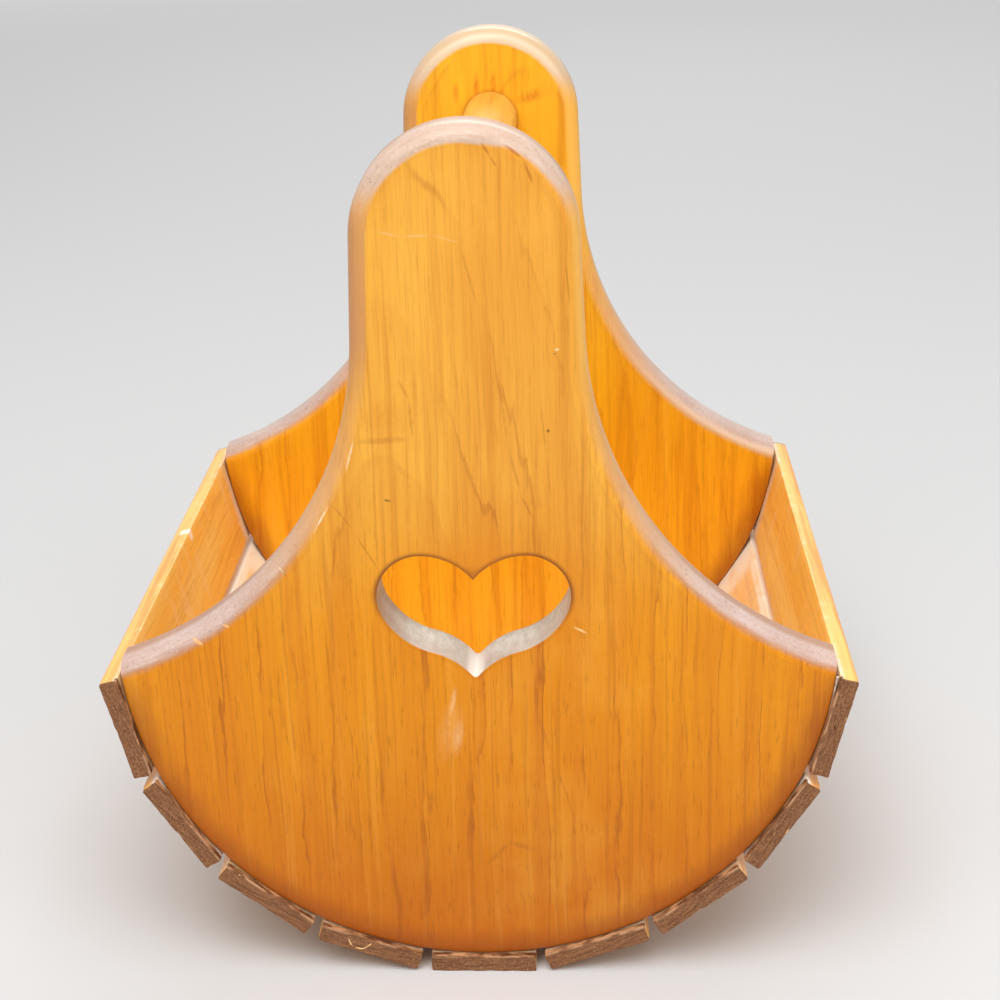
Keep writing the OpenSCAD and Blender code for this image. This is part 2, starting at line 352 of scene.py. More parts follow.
def board_edges(sh, place, colour, rough, border):
    """Varnish pooled at the edges with painted shade, painted shade near the rim, the worn border of dust with painted
    sheen and highlights, and the heart's bare wall with painted shade and a painted highlight at its tip.
    """
    sides = sh.split(place)
    up = sh.math("SUBTRACT", sides[2], RIM_R + SLAT_T)
    from_axis = sh.math("SQRT", sh.math("MULTIPLY_ADD", sides[0], sides[0], sh.math("MULTIPLY", up, up)))
    soft = sh.noise(sh.stretch(place, (60, 60, 60)), detail=3)
    # Painted shade on the board's faces near the rim, below the axis, where the slats meet the board
    near_rim = sh.step(sh.math("MULTIPLY_ADD", soft, 0.006, from_axis), RIM_R - 0.009, RIM_R + 0.003)
    below = sh.step(up, 0.0, -0.03)
    colour = sh.mix(sh.math("MULTIPLY", sh.math("MULTIPLY", near_rim, below), 0.7), colour, srgb(150, 70, 14))
    # Varnish pooled at the edges, made darker as painted shade above the heart's middle height: along the heart's
    # upper edge and in the dark ring round the dowel's socket
    pooled_and_shade = sh.attribute("pooled_and_shade")
    upper = sh.step(sides[2], 0.134, 0.152, 0.22, 0.85)
    colour = sh.mix(sh.math("MULTIPLY", sh.math("POWER", pooled_and_shade, 1.5), upper), colour, srgb(132, 66, 22))
    worn = sh.attribute("worn")
    run = sh.attribute("run")
    band = sh.node("ShaderNodeCombineXYZ")
    sh.link(run, band.inputs[0])
    sh.link(worn, band.inputs[1])
    sh.link(sides[0], band.inputs[2])
    strokes = sh.noise(sh.stretch(band.outputs[0], (70, 5, 20)), detail=5, roughness=0.7)
    patches = sh.noise(sh.stretch(band.outputs[0], (24, 1.2, 30), (3, 1, 2)), detail=3)
    crumbs = sh.noise(sh.stretch(place, (800, 800, 800)), detail=3)
    # The border's band: dust, and painted sheen of light off the varnished round
    dust_and_sheen = sh.mix(sh.step(strokes, 0.36, 0.64), srgb(184, 150, 134), srgb(200, 173, 160))
    dust_and_sheen = sh.mix(sh.step(patches, 0.48, 0.75, 0, 0.45), dust_and_sheen, srgb(164, 121, 98))
    # Its paler middle is a painted highlight along the round
    dust_and_sheen = sh.mix(sh.step(worn, 0.45, 0.85, 0, 0.35), dust_and_sheen, srgb(212, 190, 182))
    dust_and_sheen = sh.mix(sh.step(crumbs, 0.56, 0.72, 0, 0.42), dust_and_sheen, srgb(144, 106, 86))
    dust_and_sheen = sh.mix(sh.step(crumbs, 0.42, 0.28, 0, 0.45), dust_and_sheen, srgb(224, 208, 200))
    inner = sh.step(sh.attribute("inner_side"), 0.30, 0.55)
    dust_and_sheen = sh.mix(sh.math("MULTIPLY", inner, border["brown"]), dust_and_sheen, srgb(170, 122, 90))
    # Painted light: the flanks of the band on the right half of the board made lighter
    glow = sh.math("MULTIPLY", sh.step(worn, 0.85, 0.50, 0, border["glow"]), sh.step(sides[0], 0.0, 0.03))
    dust_and_sheen = sh.mix(glow, dust_and_sheen, srgb(216, 181, 144))
    warm = sh.math("MULTIPLY", sh.step(sides[2], 0.138, 0.186), sh.step(sides[2], 0.292, 0.270, 0, 0.85))
    dust_and_sheen = sh.mix(warm, dust_and_sheen, srgb(212, 160, 110))
    # At the top the band is creamier: dust, and a painted highlight where the top faces the light
    top = sh.step(sides[2], 0.272, 0.294)
    cream = sh.mix(sh.step(worn, 0.75, 0.50), srgb(210, 178, 138), srgb(220, 195, 160))
    dust_and_sheen = sh.mix(sh.math("MULTIPLY", top, border["cream"]), dust_and_sheen, cream)
    # The dust is worn off the neck, and the band's painted sheen is left off it too
    bare_neck = sh.math("MULTIPLY", sh.step(sides[2], 0.150, 0.240), sh.step(sides[2], 0.288, 0.268))
    narrow = sh.step(sides[0], *border["narrow"])
    if border["marks_inside"]:
        narrow = sh.math("MULTIPLY", narrow, sh.step(sides[2], 0.25, 0.20))
    ragged = sh.math("MULTIPLY_ADD", crumbs, 0.16, sh.math("MULTIPLY_ADD", strokes, 0.14, -0.15))
    ragged = sh.math("MULTIPLY_ADD", patches, 0.30, sh.math("SUBTRACT", ragged, 0.15))
    low = sh.math("MULTIPLY_ADD", narrow, 0.27, -0.02)
    high = sh.math("MULTIPLY_ADD", top, -0.30, sh.math("MULTIPLY_ADD", narrow, 0.28, 0.50))
    dust_and_sheen_amount = sh.step(sh.math("ADD", worn, ragged), low, high)
    dust_and_sheen_amount = sh.math("MULTIPLY", dust_and_sheen_amount, sh.step(worn, 0.0, 0.05))
    covered = sh.math("MULTIPLY", dust_and_sheen_amount, sh.math("SUBTRACT", 1.0, bare_neck))
    colour = sh.mix(covered, colour, dust_and_sheen)
    # Brown grime where the dust thins out, and where hands held the left of the neck
    thin = sh.math("MULTIPLY", sh.math("MULTIPLY", covered, 4.0), sh.math("SUBTRACT", 1.0, covered))
    thin = sh.math("MULTIPLY", thin, sh.step(sides[2], 0.150, 0.180, border["grime"], 0))
    colour = sh.mix(thin, colour, srgb(140, 84, 48))
    # A pale strip on the right of the neck: rubbed wear, and a painted highlight of light from the right
    rubbed = sh.math("MULTIPLY", sh.step(worn, *border["rubbed"]), sh.step(sides[0], 0.010, 0.028))
    rubbed = sh.math("MULTIPLY", rubbed, sh.step(sides[2], 0.205, 0.240))
    rubbed = sh.math("MULTIPLY", rubbed, sh.math("SUBTRACT", 1.0, covered))
    colour = sh.mix(rubbed, colour, srgb(254, 198, 100))
    handled = sh.math("ADD", sh.step(worn, 0.02, 0.10, 0, 0.62), sh.step(worn, 0.30, 0.95, 0, 0.14))
    handled = sh.math("MULTIPLY", handled, sh.step(sides[0], -0.012, -0.030))
    handled = sh.math("MULTIPLY", handled, sh.step(sides[2], 0.205, 0.240))
    handled = sh.math("MULTIPLY", handled, sh.step(sides[2], 0.286, 0.270))
    colour = sh.mix(handled, colour, srgb(186, 130, 96))
    seam = sh.math("MULTIPLY", sh.step(worn, 0.04, 0.14), sh.step(worn, 0.32, 0.20))
    seam = sh.math("MULTIPLY", seam, sh.step(sides[0], -0.006, 0.006))
    seam = sh.math("MULTIPLY", seam, sh.step(sides[2], 0.225, 0.245))
    seam = sh.math("MULTIPLY", seam, sh.step(strokes, 0.42, 0.58, 0, border["seam"]))
    colour = sh.mix(seam, colour, srgb(150, 84, 30))
    rough = sh.math("MULTIPLY_ADD", covered, border["matt"], rough)
    sh.link(sh.math("MULTIPLY_ADD", covered, border["sheen"], 0.06), sh.surface.inputs["Coat Weight"])
    wall = sh.attribute("heart_wall")
    fibres = sh.noise(sh.stretch(place, (340, 160, 340)), detail=4, roughness=0.6)
    bare = sh.mix(sh.step(fibres, 0.30, 0.70), srgb(200, 190, 176), srgb(226, 220, 208))
    bare = sh.mix(sh.step(soft, 0.42, 0.62, 0, 0.5), bare, srgb(186, 170, 154))
    # The heart's tip, which gets a painted highlight last of all
    tip = sh.step(sh.math("ABSOLUTE", sides[0]), 0.004, 0.0015)
    tip = sh.math("MULTIPLY", tip, sh.step(sides[2], 0.126, 0.120))
    bare = sh.mix(sh.step(crumbs, 0.55, 0.7, 0, 0.3), bare, srgb(150, 118, 92))
    shaded = sh.step(sides[0], -0.020, -0.031)
    bare = sh.mix(sh.math("MULTIPLY", shaded, 0.35), bare, srgb(134, 92, 62))
    # Painted shade on the heart's wall, darker towards the board's outer face
    mouth = sh.step(sh.math("ABSOLUTE", sides[1]), BOARD_INNER + 0.003, BOARD_OUTER - 0.001, 0, 0.45)
    bare = sh.mix(mouth, bare, srgb(150, 118, 96))
    # Painted highlight at the heart's tip
    bare = sh.mix(tip, bare, srgb(232, 221, 210))
    colour = sh.mix(sh.step(wall, 0.35, 0.65), colour, bare)
    return colour, rough


def slat_wood(name, offset, shade, dust_and_sheen_amount, chip):
    """Amber slat: grain along it, pale rubbed side edges, rough brown ends.

    The amount after the shade is how thick the dust and painted sheen lie over the inner face, or None for a clean
    slat.
    Chip is the place along the slat of a pale chip in its upper edge, or None.
    """
    sh = Shader(name)
    place = sh.node("ShaderNodeAttribute", attribute_name="slat_place").outputs["Vector"]
    grain = grain_space(sh, place, 1, offset)[0]
    sides = sh.split(place)
    broad = grain(60, 5, 3, 0.5)
    lines = grain(420, 12, 5, 0.62)
    fine = grain(1500, 60, 3, 0.6)
    light = tuple(c * shade for c in srgb(254, 214, 120)[:3]) + (1,)
    colour = sh.mix(sh.step(broad, 0.35, 0.65), light, srgb(250, 194, 88))
    colour = sh.mix(sh.step(lines, 0.48, 0.70, 0, 0.38), colour, srgb(200, 118, 38))
    colour = sh.mix(sh.step(fine, 0.52, 0.72, 0, 0.3), colour, srgb(160, 86, 30))
    rough = sh.math("MULTIPLY_ADD", sh.noise(sh.stretch(place, (60, 30, 60), offset), detail=3), 0.2, 0.22)
    # Side edges: sun-bleached and rubbed bright
    ragged = sh.noise(sh.stretch(place, (300, 60, 300), offset), detail=4)
    ragged = sh.math("MULTIPLY_ADD", ragged, 0.0008, -0.0004)
    from_middle = sh.math("ADD", sh.math("ABSOLUTE", sides[0]), ragged)
    side = sh.step(from_middle, SLAT_W / 2 - 0.0010, SLAT_W / 2 - 0.0005)
    bright = sh.mix(sh.step(lines, 0.4, 0.65), srgb(250, 192, 104), srgb(226, 150, 66))
    colour = sh.mix(sh.math("MULTIPLY", side, 0.85), colour, bright)
    outside = sh.step(sides[2], SLAT_T - 0.0009, SLAT_T - 0.0004)
    varnish = sh.mix(sh.step(lines, 0.45, 0.68, 0, 0.45), srgb(228, 148, 40), srgb(176, 98, 24))
    colour = sh.mix(sh.math("MULTIPLY", outside, 0.8), colour, varnish)
    scuffs = sh.noise(sh.stretch(place, (36, 130, 60), offset, (0, 0, 0.3)), detail=4, roughness=0.6)
    scuffed = sh.math("MULTIPLY", sh.step(scuffs, 0.50, 0.70), sh.step(sides[2], 0.0015, 0.0030, 0.55, 0.10))
    colour = sh.mix(scuffed, colour, srgb(252, 212, 152))
    # Pale line of glue beside the boards
    crust = sh.step(sh.math("ABSOLUTE", sides[1]), BOARD_INNER - 0.0080, BOARD_INNER - 0.0045)
    crust = sh.math("MULTIPLY", crust, sh.step(scuffs, 0.36, 0.56, 0.35, 0.9))
    crust = sh.math("MULTIPLY", crust, sh.step(sides[2], 0.0020, 0.0010))
    colour = sh.mix(crust, colour, srgb(240, 214, 180))
    if chip is not None:
        beside = sh.step(sh.math("ABSOLUTE", sh.math("SUBTRACT", sides[1], chip)), 0.0034, 0.0012)
        rim = sh.step(sh.math("ADD", sides[0], sides[2]), 0.0050 - SLAT_W / 2, 0.0030 - SLAT_W / 2)
        colour = sh.mix(sh.math("MULTIPLY", beside, rim), colour, srgb(255, 242, 216))
    if dust_and_sheen_amount is not None:
        # Pale glue, dust and painted sheen along the joints, which the second slats show by the back board
        seam = sh.step(sh.math("ABSOLUTE", sides[0]), SLAT_W / 2 - 0.0060, SLAT_W / 2 - 0.0030)
        joint = sh.step(sides[1], BOARD_INNER - 0.032, BOARD_INNER - 0.012)
        cloud = sh.noise(sh.stretch(place, (110, 50, 110), offset), detail=4, roughness=0.6)
        dust_and_sheen = sh.math("MAXIMUM", sh.math("MAXIMUM", seam, joint), dust_and_sheen_amount)
        dust_and_sheen = sh.math("MULTIPLY", dust_and_sheen, sh.step(cloud, 0.30, 0.52, 0.55, 0.95))
        dust_and_sheen = sh.math("MULTIPLY", dust_and_sheen, sh.step(sides[2], 0.0030, 0.0015))
        colour = sh.mix(dust_and_sheen, colour, srgb(252, 248, 232))
    # The strip of inner face that stands out past the boards is stained brown
    inner = sh.step(sides[2], 0.0012, 0.0006)
    past_board = sh.step(sh.math("ABSOLUTE", sides[1]), BOARD_OUTER - 0.0012, BOARD_OUTER - 0.0002)
    strip = sh.math("MULTIPLY", inner, past_board)
    stain = sh.noise(sh.stretch(place, (130, 400, 100), offset), detail=4)
    colour = sh.mix(strip, colour, sh.mix(sh.step(stain, 0.40, 0.66), srgb(96, 54, 30), srgb(206, 150, 104)))
    # Sawn ends
    end = sh.step(sh.math("ABSOLUTE", sides[1]), SLAT_L / 2 - 0.0012, SLAT_L / 2 - 0.0007)
    turned = sh.stretch(place, (1.0, 1.0, 1.0), turn=(0, math.radians(-5 + 40 * (shade - 1)), 0))
    strokes = sh.noise(sh.stretch(turned, (150, 100, 1500), offset), detail=5, roughness=0.7)
    speckle = sh.noise(sh.stretch(place, (1500, 300, 1500), offset), detail=4, roughness=0.75)
    sawn = sh.mix(sh.step(strokes, 0.34, 0.64), srgb(110, 69, 43), srgb(146, 99, 64))
    sawn = sh.mix(sh.step(speckle, 0.52, 0.70, 0, 0.65), sawn, srgb(192, 147, 106))
    sawn = sh.mix(sh.step(speckle, 0.46, 0.32, 0, 0.65), sawn, srgb(64, 38, 26))
    edges = sh.step(sides[2], 0.0010, 0.0003, 0, 0.8)
    sawn = sh.mix(sh.math("MULTIPLY", edges, sh.step(stain, 0.42, 0.60)), sawn, srgb(206, 160, 120))
    colour = sh.mix(end, colour, sawn)
    rough = sh.math("MULTIPLY_ADD", end, 0.5, rough)
    height = sh.math("ADD", lines, sh.math("MULTIPLY", sh.math("MULTIPLY", strokes, end), 3.0))
    return finish_wood(sh, colour, rough, height, bump=0.35, coat=0.12)


def dowel_wood():
    sh = Shader("dowel_wood")
    place = sh.place()
    grain = grain_space(sh, place, 1, (0.2, 0.4, 0.6))[0]
    lines = grain(420, 12, 5, 0.62)
    broad = grain(70, 6, 3, 0.5)
    colour = sh.mix(sh.step(broad, 0.35, 0.65), srgb(248, 190, 88), srgb(236, 164, 62))
    colour = sh.mix(sh.step(lines, 0.48, 0.70, 0, 0.4), colour, srgb(188, 106, 34))
    rough = sh.math("MULTIPLY_ADD", lines, 0.2, 0.25)
    return finish_wood(sh, colour, rough, lines)


def steel():
    sh = Shader("nail_steel")
    mottle = sh.noise(sh.stretch(sh.place(), (700, 700, 700)), detail=4)
    sh.link(sh.mix(mottle, srgb(110, 104, 100), srgb(168, 164, 160)), sh.surface.inputs["Base Color"])
    sh.link(sh.math("MULTIPLY_ADD", mottle, 0.3, 0.3), sh.surface.inputs["Roughness"])
    sh.surface.inputs["Metallic"].default_value = 1.0
    return sh.material


# The end board's outline, x across and z up, from the lowest point of the board
def outline_facts():
    top = SIDE_SLATS * SLAT_PITCH
    horn_z = RIM_R - RIM_R * math.cos(top) + SLAT_W / 2 * math.sin(top) + HORN_RISE
    horn = Vector((math.sqrt(RIM_R ** 2 - (RIM_R - horn_z) ** 2), horn_z))
    across = Vector((math.cos(NECK_LEAN), math.sin(NECK_LEAN)))
    along = Vector((-math.sin(NECK_LEAN), math.cos(NECK_LEAN)))
    far = Vector((0, NECK_Z)).dot(across) + NECK_R + SHOULDER_R
    reach = horn.dot(along) + math.sqrt(SHOULDER_R ** 2 - (far - horn.dot(across)) ** 2)
    return far * across + reach * along, across


def crossing(centre, radius, rim_radius):
    """Where the shoulder curve of that radius meets the round bottom edge, on the right."""
    rim = Vector((0, RIM_R))
    gap = (centre - rim).length
    back = (rim_radius ** 2 - radius ** 2 + gap ** 2) / (2 * gap)
    side = math.sqrt(rim_radius ** 2 - back ** 2)
    towards = (centre - rim).normalized()
    square = Vector((towards.y, -towards.x))
    return rim + towards * back + square * side


def board_ring(inset, rim_inset=0.0):
    """Closed outline drawn in by inset, and by rim_inset along the rim; always with as many points."""
    centre, across = outline_facts()
    rim_radius = RIM_R - rim_inset
    horn = crossing(centre, SHOULDER_R + inset, rim_radius)
    rim_turn = math.atan2(horn.x, RIM_R - horn.y)
    rim = [
        Vector((rim_radius * math.sin(t), RIM_R - rim_radius * math.cos(t)))
        for t in (rim_turn * i / RIM_STEPS for i in range(-RIM_STEPS, RIM_STEPS + 1))
    ]
    first = math.atan2(horn.y - centre.y, horn.x - centre.x) % (2 * math.pi)
    last = math.pi + NECK_LEAN
    shoulder = [
        centre + (SHOULDER_R + inset) * Vector((math.cos(t), math.sin(t)))
        for t in (first + (last - first) * i / SHOULDER_STEPS for i in range(1, SHOULDER_STEPS + 1))
    ]
    head = Vector((0, NECK_Z))
    radius = NECK_R - inset
    start = head + radius * across
    neck = [shoulder[-1].lerp(start, i / NECK_STEPS) for i in range(1, NECK_STEPS)]
    sweep = math.pi - 2 * NECK_LEAN
    cap = [
        head + radius * Vector((math.cos(t), math.sin(t)))
        for t in (NECK_LEAN + sweep * i / TOP_STEPS for i in range(TOP_STEPS + 1))
    ]
    right = shoulder + neck
    left = [Vector((-p.x, p.y)) for p in reversed(right)]
    return rim + right + cap + left


def border_runs(points):
    """For each point, its distance along the border from the middle of the top."""
    count = len(points)
    top = max(range(count), key=lambda i: points[i].y)
    runs = [0.0] * count
    for way in (1, -1):
        run = 0.0
        for step in range(1, count // 2 + 1):
            here, before = (top + way * step) % count, (top + way * (step - 1)) % count
            run += (points[here] - points[before]).length
            runs[here] = run
    return runs


def ray(degrees):
    return Vector((math.cos(math.radians(degrees)), math.sin(math.radians(degrees))))


def arc(centre, radius, start, end, steps):
    return [centre + radius * ray(start + (end - start) * i / steps) for i in range(steps + 1)]


def heart_ring(grow=0.0):
    """Closed outline of the heart, opened by grow."""
    crown_r = HEART_RADII["crown"] + grow
    side_r = HEART_RADII["side"] + grow
    flank_r = HEART_RADII["flank"] + grow
    tip_r = HEART_RADII["tip"] - grow
    side = Vector((HEART_W / 2 - HEART_RADII["side"], HEART_Z))
    crown = side - (crown_r - side_r) * ray(HEART_TURNS["crown"])
    flank = side - (flank_r - side_r) * ray(HEART_TURNS["flank"])
    hollow = flank + (flank_r + tip_r) * ray(HEART_TURNS["tip"])
    notch = math.degrees(math.acos(-crown.x / crown_r))
    tip_round = HEART_TIP_ROUND + grow
    tip = math.degrees(math.acos(-hollow.x / (tip_r + tip_round)))
    tip_centre = Vector((0, hollow.y + (tip_r + tip_round) * math.sin(math.radians(tip))))
    half = arc(crown, crown_r, notch, HEART_TURNS["crown"], 16)
    half += arc(side, side_r, HEART_TURNS["crown"], HEART_TURNS["flank"], 24)[1:]
    half += arc(flank, flank_r, HEART_TURNS["flank"], HEART_TURNS["tip"], 16)[1:]
    half += arc(hollow, tip_r, 180 + HEART_TURNS["tip"], tip, 14)[1:]
    half += arc(tip_centre, tip_round, tip - 180, -90, 4)[1:]
    left = [Vector((-p.x, p.y)) for p in reversed(half[1:-1])]
    return half + left


def border_profile(thickness):
    """(inset, rim inset, depth, pooled varnish and painted shade, wear) round the border, from one face to the other.
    """
    turns = [math.pi / 2 * i / BORDER_STEPS for i in range(BORDER_STEPS + 1)]
    first = [(EDGE_ROUND + POOL_W, POOL_W + ARRIS, 0.0, 0.0, 0.0)]
    for t in turns:
        inset, depth = EDGE_ROUND * (1 - math.sin(t)), EDGE_ROUND * (1 - math.cos(t))
        arris = ARRIS * (1 - math.sqrt(min(1.0, depth / ARRIS)))
        first.append((inset, arris, depth, 0.2 if t == 0 else 0.0, 1 - inset / EDGE_ROUND))
    middle = [(0.0, 0.0, thickness * k, 0.0, 1.0) for k in (0.42, 0.5, 0.58)]
    return first + middle + [(i, r, thickness - d, p, w) for i, r, d, p, w in reversed(first)]


def heart_profile(thickness):
    """(growth, depth, pooled varnish and painted shade, bare wall) through the heart, from one face to the other."""
    ease = HEART_EASE
    first = [
        (ease + POOL_W, 0.0, 0.0, 0.0),
        (ease, 0.0, 1.0, 0.0),
        (ease * 0.3, ease * 0.3, 1.0, 0.1),
        (0, ease, 1.0, 0.55),
    ]
    middle = [(0.0, thickness * k, 0.0, 1.0) for k in (0.08, 0.5, 0.92)]
    return first + middle + [(g, thickness - d, p, w) for g, d, p, w in reversed(first)]


class Sheet:
    """A mesh under construction, with named numbers on its vertices."""

    def __init__(self, *layers):
        self.mesh = bmesh.new()
        self.layers = {name: self.mesh.verts.layers.float.new(name) for name in layers}

    def ring(self, places, **marks):
        verts = [self.mesh.verts.new(place) for place in places]
        for name, value in marks.items():
            values = value if isinstance(value, list) else [value] * len(verts)
            for vert, item in zip(verts, values):
                vert[self.layers[name]] = item
        return verts

    def strip(self, first, second):
        count = len(first)
        for i in range(count):
            self.mesh.faces.new((first[i], first[(i + 1) % count], second[(i + 1) % count], second[i]))

    def fill(self, *loops):
        edges = [self.mesh.edges.get((loop[i - 1], loop[i])) for loop in loops for i in range(len(loop))]
        bmesh.ops.triangle_fill(self.mesh, edges=edges, use_beauty=True)

    def finish(self, name, angle):
        bmesh.ops.recalc_face_normals(self.mesh, faces=self.mesh.faces)
        data = bpy.data.meshes.new(name)
        self.mesh.to_mesh(data)
        self.mesh.free()
        item = bpy.data.objects.new(name, data)
        bpy.context.scene.collection.objects.link(item)
        smooth_by_angle(item, angle)
        return item


def end_board(name, node, end):
    """One end board; end is -1 at the front and 1 at the back."""
    low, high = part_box(node)
    thickness = high.y - low.y
    outer = low.y if end < 0 else high.y
    sheet = Sheet("run", "worn", "pooled_and_shade", "heart_wall", "inner_side")

    def lay(points, depth, **marks):
        return sheet.ring([(p.x, outer - end * depth, low.z + p.y) for p in points], **marks)

    runs = border_runs(board_ring(0.0))
    rim_count = 2 * RIM_STEPS + 1
    horn_run = max(runs[0], runs[rim_count - 1])
    border = []
    for inset, rim_inset, depth, pooled_and_shade, worn in border_profile(thickness):
        points = board_ring(inset, rim_inset)
        bare = [worn * max(0.0, min(1.0, 2 - abs(run - horn_run) / HORN_WEAR)) for run in runs[:rim_count]]
        wear = bare + [worn] * (len(points) - rim_count)
        border.append(lay(points, depth, run=runs, pooled_and_shade=pooled_and_shade, worn=wear, inner_side=depth / thickness))
    for first, second in zip(border, border[1:]):
        sheet.strip(first, second)
    heart = [lay(heart_ring(g), d, pooled_and_shade=p, heart_wall=w) for g, d, p, w in heart_profile(thickness)]
    for first, second in zip(heart, heart[1:]):
        sheet.strip(second, first)
    middle = Vector((0, NECK_Z))
    turns = [2 * math.pi * i / SOCKET_STEPS for i in range(SOCKET_STEPS)]
    circle = [middle + SOCKET_R * Vector((math.cos(t), math.sin(t))) for t in turns]
    halo = [middle + (SOCKET_R + POOL_W) * Vector((math.cos(t), math.sin(t))) for t in turns]
    # The socket, whose ring carries pooled varnish and the painted shade round the dowel
    socket = [
        lay(halo, thickness),
        lay(circle, thickness, pooled_and_shade=0.6),
        lay(circle, thickness - SOCKET_DEPTH, pooled_and_shade=0.6),
    ]
    for first, second in zip(socket, socket[1:]):
        sheet.strip(first, second)
    sheet.mesh.faces.new(socket[-1])
    sheet.fill(border[0], heart[0])
    sheet.fill(border[-1], heart[-1], socket[0])
    board = sheet.finish(name, 40)
    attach(board, "root")
    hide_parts(node)
    return board


def slat_section():
    """Points round a slat's section, u across and w outwards from the face on the boards."""
    half, ease = SLAT_W / 2, SLAT_EASE
    corners = ((half - ease, SLAT_T - ease, 0), (-half + ease, SLAT_T - ease, 90),
               (-half + ease, ease, 180), (half - ease, ease, 270))
    points = []
    for index, (u, w, start) in enumerate(corners):
        points += [Vector((u, w)) + ease * ray(start + 30 * i) for i in range(4)]
        after = corners[(index + 1) % 4]
        last, target = points[-1], Vector((after[0], after[1])) + ease * ray(start + 90)
        steps = 14 if index % 2 == 0 else 3
        points += [last.lerp(target, i / steps) for i in range(1, steps)]
    return points


def slat_piece(node, place, seed):
    """A slat with slightly uneven faces and rough sawn ends, inside the plain slat's shape."""
    turn = place * SLAT_PITCH
    out = Vector((math.sin(turn), 0, -math.cos(turn)))
    wide = Vector((math.cos(turn), 0, math.sin(turn)))
    axis = Vector((0, 0, RIM_R + SLAT_T))
    sheet = Sheet()
    local = sheet.mesh.verts.layers.float_vector.new("slat_place")
    section = slat_section()
    middle = Vector((0, SLAT_T / 2))
    half = SLAT_L / 2

    def lay(y, shrink, rough):
        verts = []
        for point in section:
            near = middle + Vector(((point.x - middle.x) * shrink, (point.y - middle.y) * shrink))
            spot = Vector((near.x * 90, y * 14, near.y * 90 + seed * 7.3))
            sink = FACE_SINK + FACE_UNEVEN * noise.noise(spot)
            chip = Vector((near.x * 260, seed * 5.1 + math.copysign(3, y), near.y * 200))
            frayed = max(0.0, 1 - (half - abs(y)) / FRAY_REACH)
            sink += frayed * END_FRAY * max(0.0, 0.35 + 1.5 * noise.noise(chip))
            near -= (near - middle).normalized() * max(0.0, sink)
            spot = Vector((near.x * 420, near.y * 700, seed * 3.1 + y * 10))
            pit = rough * (0.55 + 0.75 * noise.noise(spot) + 0.5 * noise.noise(spot * 2.7))
            back = y - math.copysign(max(0.0, pit), y)
            vert = sheet.mesh.verts.new(axis + out * (RIM_R + near.y) + wide * near.x + Vector((0, back, 0)))
            vert[local] = (near.x, y, near.y)
            verts.append(vert)
        return verts

    ends = [1.0, 0.86, 0.68, 0.5, 0.32, 0.15]
    rings = [lay(-half, k, END_ROUGH) for k in reversed(ends)]
    near_end = [0.0007, 0.0016, 0.0030]
    rings += [lay(-half + k, 1.0, 0.0) for k in near_end]
    rings += [lay(-half + SLAT_L * i / 30, 1.0, 0.0) for i in range(1, 30)]
    rings += [lay(half - k, 1.0, 0.0) for k in reversed(near_end)]
    rings += [lay(half, k, END_ROUGH) for k in ends]
    for first, second in zip(rings, rings[1:]):
        sheet.strip(first, second)
    sheet.mesh.faces.new(rings[0])
    sheet.mesh.faces.new(rings[-1])
    slat = sheet.finish(node + "_wood", 35)
    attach(slat, "root")
    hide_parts(node)
    return slat


def smooth_by_angle(item, degrees):
    """Smooth shading everywhere except across edges sharper than the angle."""
    mesh = bmesh.new()
    mesh.from_mesh(item.data)
    for face in mesh.faces:
        face.smooth = True
    for edge in mesh.edges:
        sharp = len(edge.link_faces) == 2 and edge.calc_face_angle() > math.radians(degrees)
        edge.smooth = not sharp
    mesh.to_mesh(item.data)
    mesh.free()


def set_material(item, material):
    item.data.materials.clear()
    item.data.materials.append(material)


def thread(sheet, path, radii, sides=6):
    """A closed thin tube along a path; the radius may differ at each point."""
    rings = []
    for i, point in enumerate(path):
        way = (path[min(i + 1, len(path) - 1)] - path[max(i - 1, 0)]).normalized()
        square = way.orthogonal().normalized()
        other = way.cross(square)
        turns = [2 * math.pi * k / sides for k in range(sides)]
        places = [point + radii[i] * (math.cos(t) * square + math.sin(t) * other) for t in turns]
        rings.append(sheet.ring(places))
    for first, second in zip(rings, rings[1:]):
        sheet.strip(first, second)
    sheet.mesh.faces.new(rings[0])
    sheet.mesh.faces.new(rings[-1])


def on_slat(place, u, w, y):
    """A place given across, outwards from the boards' rim and along a slat."""
    turn = place * SLAT_PITCH
    out = Vector((math.sin(turn), 0, -math.cos(turn)))
    wide = Vector((math.cos(turn), 0, math.sin(turn)))
    return Vector((0, y, RIM_R + SLAT_T)) + out * (RIM_R + w) + wide * u


